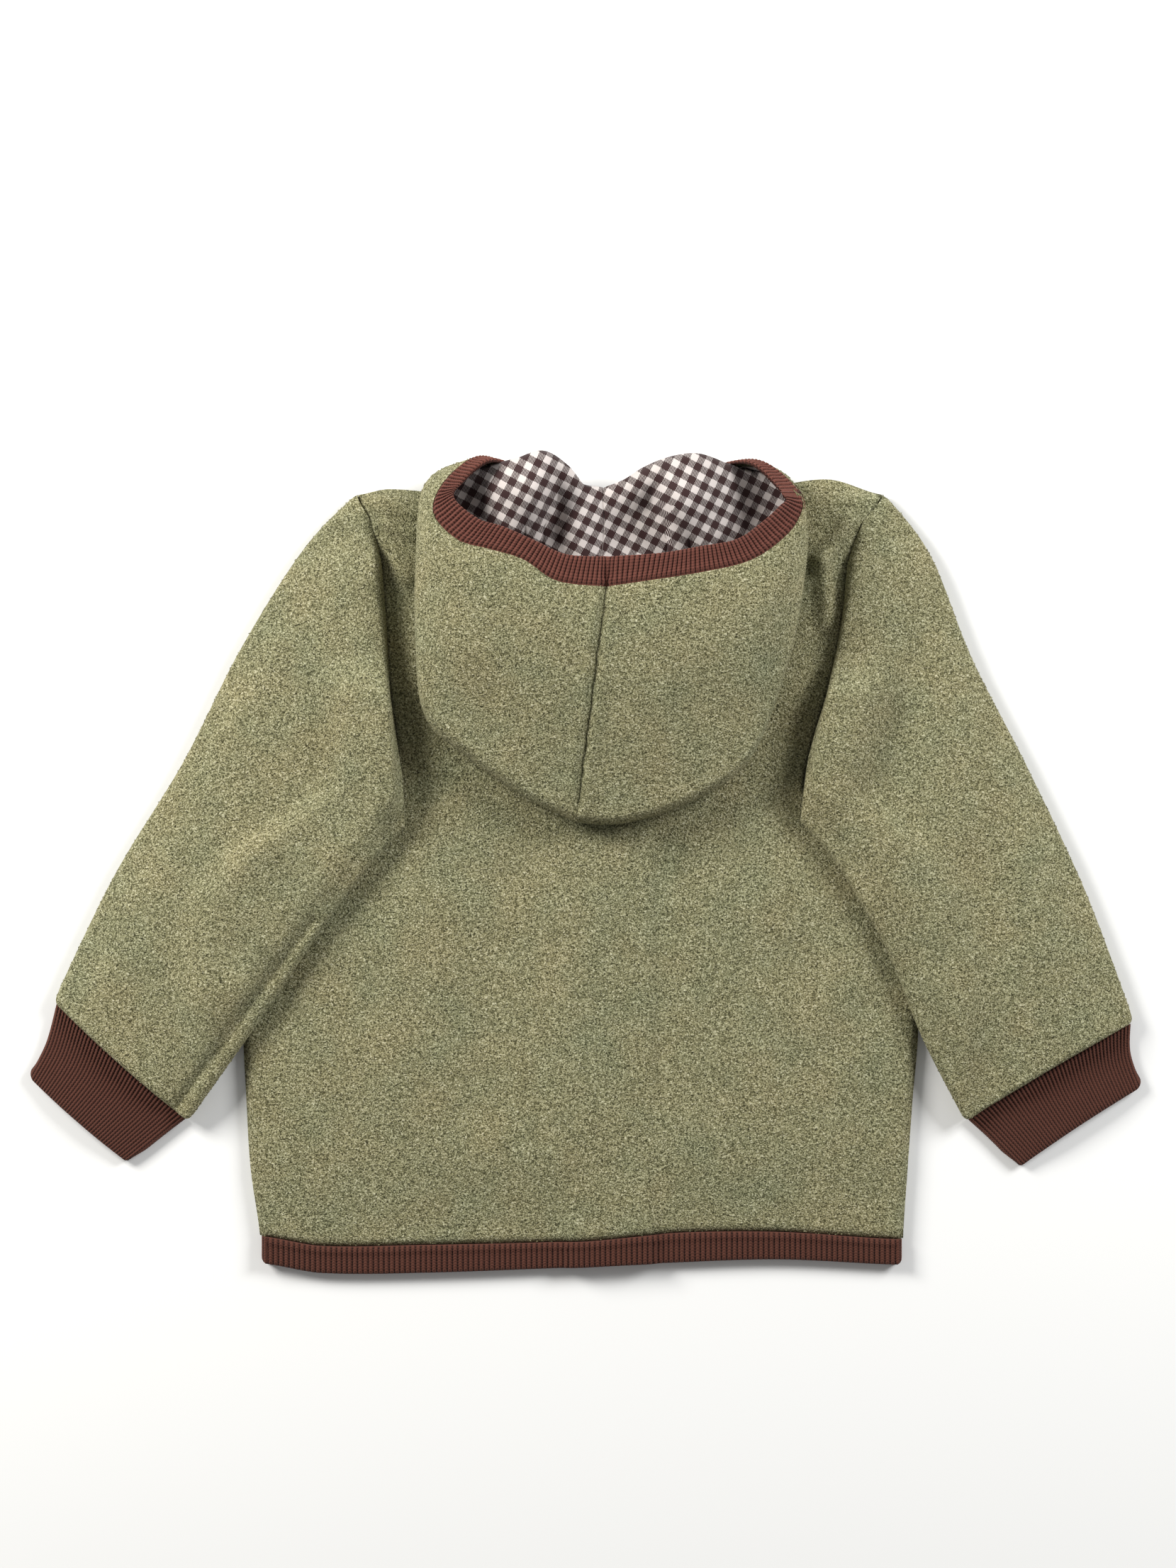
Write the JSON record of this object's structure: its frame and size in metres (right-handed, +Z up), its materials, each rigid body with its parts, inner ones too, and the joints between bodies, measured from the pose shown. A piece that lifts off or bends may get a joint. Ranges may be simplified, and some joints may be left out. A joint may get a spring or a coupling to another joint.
{
  "type": "hooded fleece jacket",
  "caption": "Small child's hooded jacket in mottled green wool fleece with dark brown ribbing, laid on its front, hood thrown back.",
  "frame": {"origin": "centre of the bounding box, on the plane the jacket lies on", "axes": "+Z up from that plane, +Y from the hem to the neck along the back, +X across to the wearer's right sleeve, which is on the right in the picture"},
  "size_m": [0.5515, 0.404, 0.0493],
  "materials": {
    "fleece": "matte boucle wool fleece",
    "rib_knit": "matte rib knit",
    "gingham": "matte woven cotton gingham",
    "stud": "satin"
  },
  "bodies": {
    "root": {"back": "fleece", "front_left": "fleece", "front_right": "fleece", "stud_1": "stud", "stud_2": "stud", "stud_3": "stud", "stud_4": "stud", "sleeve_left": "fleece", "sleeve_right": "fleece", "cuff_left": "rib_knit", "cuff_right": "rib_knit", "hem_band": "rib_knit", "hood_left": "fleece", "hood_lining_left": "gingham", "hood_right": "fleece", "hood_lining_right": "gingham", "hood_band": "rib_knit"}
  },
  "joints": []
}
